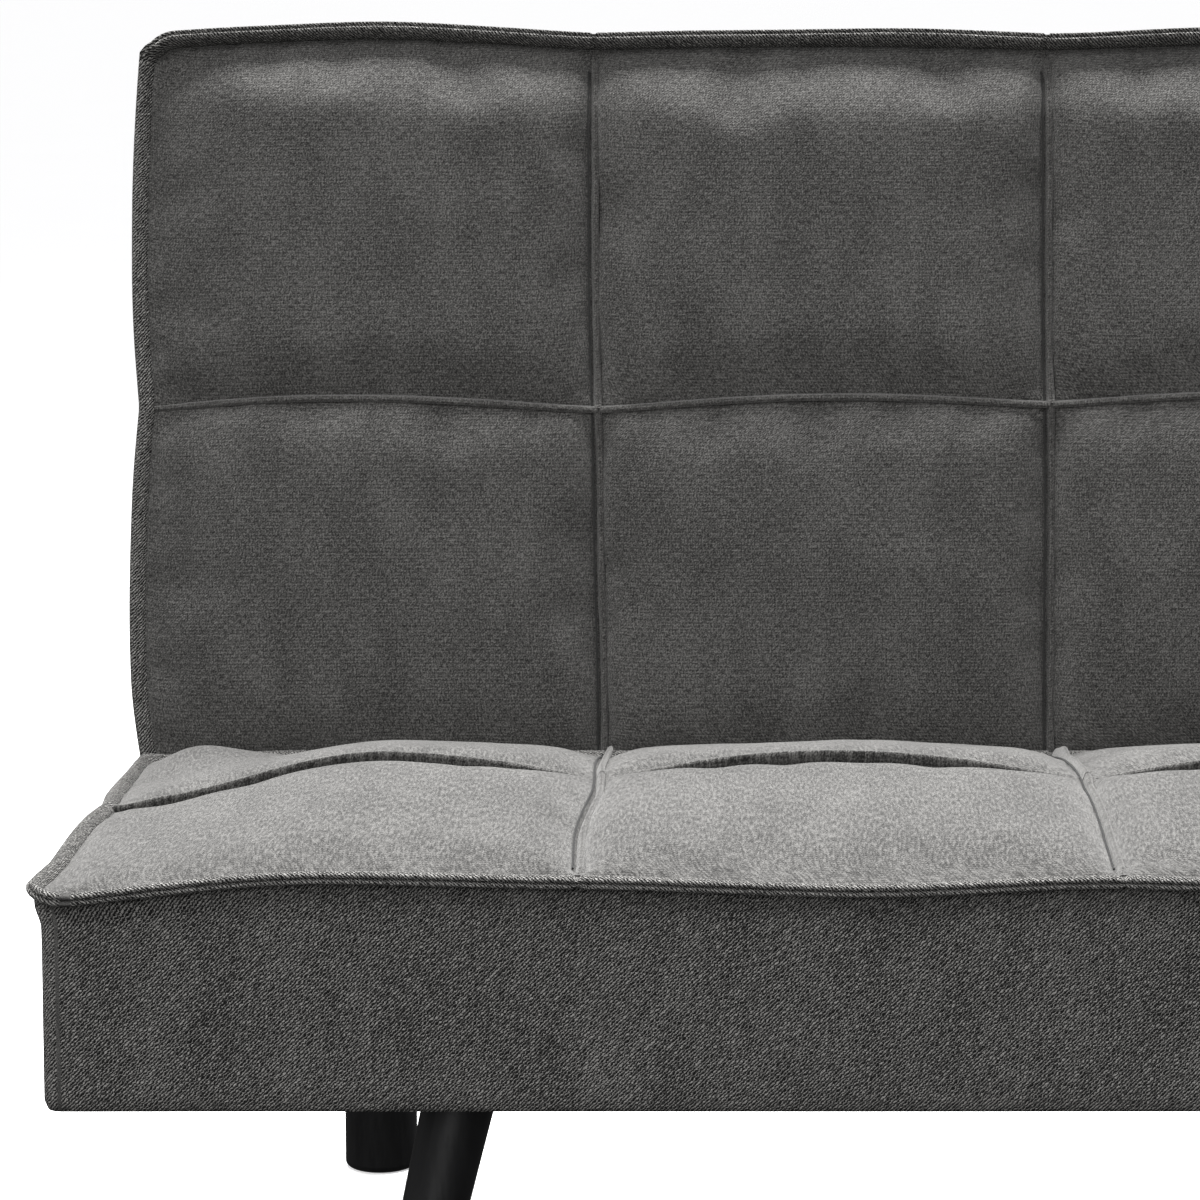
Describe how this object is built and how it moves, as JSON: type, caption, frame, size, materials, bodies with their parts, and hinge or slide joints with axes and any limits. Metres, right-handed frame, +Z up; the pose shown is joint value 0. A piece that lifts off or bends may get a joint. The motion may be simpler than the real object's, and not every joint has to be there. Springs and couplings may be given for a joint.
{
  "type": "futon sofa bed",
  "caption": "Armless click-clack sofa bed: quilted flanged seat and hinged reclining back on splayed front and round rear legs.",
  "frame": {"origin": "on the floor, under the middle of the sofa's overall width and depth", "axes": "+X to the sitter's left across the width, -Y the front, +Z up"},
  "size_m": [1.8, 0.762, 0.8278],
  "materials": {
    "quilted_cover": "dark charcoal grey woven upholstery",
    "box_cover": "dark charcoal grey twill upholstery",
    "foam": null,
    "felt": "grey felt pad",
    "dust_cloth": "black non-woven dust cloth",
    "timber": "plain sawn softwood",
    "spring_wire": "drawn spring wire",
    "spring_clips": "plated steel clip",
    "black_steel": "black powder coat",
    "zinc_steel": "bright zinc plate",
    "tapered_leg": "satin black",
    "round_leg": "satin black",
    "glides": "matt black"
  },
  "bodies": {
    "base": {"base_cross_tube": "black_steel", "centre_leg": "round_leg", "centre_leg_plate": "black_steel", "front_leg_blocks": "timber", "front_leg_glides": "glides", "front_leg_hanger_bolts": "zinc_steel", "front_leg_left": "tapered_leg", "front_leg_plates": "black_steel", "front_leg_right": "tapered_leg", "hinge_base_plate_left": "black_steel", "hinge_base_plate_right": "black_steel", "hinge_base_screws_left": "black_steel", "hinge_base_screws_right": "black_steel", "hinge_pawl_pins": "zinc_steel", "hinge_pivot_pin_left": "zinc_steel", "hinge_pivot_pin_right": "zinc_steel", "hinge_washers": "zinc_steel", "leg_plate_screws": "zinc_steel", "rear_leg_bolts": "zinc_steel", "rear_leg_left": "round_leg", "rear_leg_right": "round_leg", "seat_cross_rails": "timber", "seat_dust_cover": "dust_cloth", "seat_felt": "felt", "seat_flange": "quilted_cover", "seat_foam": "foam", "seat_front_rail": "timber", "seat_hinge_rail_left": "timber", "seat_hinge_rail_right": "timber", "seat_rear_rail": "timber", "seat_side_cover": "box_cover", "seat_side_rail_left": "timber", "seat_side_rail_right": "timber", "seat_spring_clips": "spring_clips", "seat_springs": "spring_wire", "seat_top_cover": "quilted_cover"},
    "backrest": {"back_bottom_rail": "timber", "back_cross_rails": "timber", "back_edge_blocks": "timber", "back_edge_boards": "timber", "back_felt": "felt", "back_flange": "quilted_cover", "back_foam": "foam", "back_hinge_rail_left": "timber", "back_hinge_rail_right": "timber", "back_rear_cover": "box_cover", "back_side_cover": "box_cover", "back_side_rail_left": "timber", "back_side_rail_right": "timber", "back_spring_clips": "spring_clips", "back_springs": "spring_wire", "back_top_cover": "quilted_cover", "back_top_rail": "timber", "hinge_back_plate_left": "black_steel", "hinge_back_plate_right": "black_steel", "hinge_back_screws_left": "black_steel", "hinge_back_screws_right": "black_steel"},
    "pawl_left": {"hinge_pawl_left": "zinc_steel"},
    "pawl_right": {"hinge_pawl_right": "zinc_steel"}
  },
  "joints": [
    {"name": "backrest_recline", "type": "hinge", "parent": "base", "child": "backrest", "pos_m": [0, 0.1676, 0.31], "axis": [-1, 0, 0], "range_deg": [0, 78]},
    {"name": "pawl_left_turn", "type": "hinge", "parent": "base", "child": "pawl_left", "pos_m": [-0.798, 0.1416, 0.266], "axis": [-1, 0, 0], "range_deg": [-1, 12]},
    {"name": "pawl_right_turn", "type": "hinge", "parent": "base", "child": "pawl_right", "pos_m": [0.798, 0.1416, 0.266], "axis": [-1, 0, 0], "range_deg": [-1, 12]}
  ],
  "couplings": [
    {"joint": "pawl_left_turn", "follows": "backrest_recline", "ratio": 0.14},
    {"joint": "pawl_right_turn", "follows": "backrest_recline", "ratio": 0.14}
  ]
}
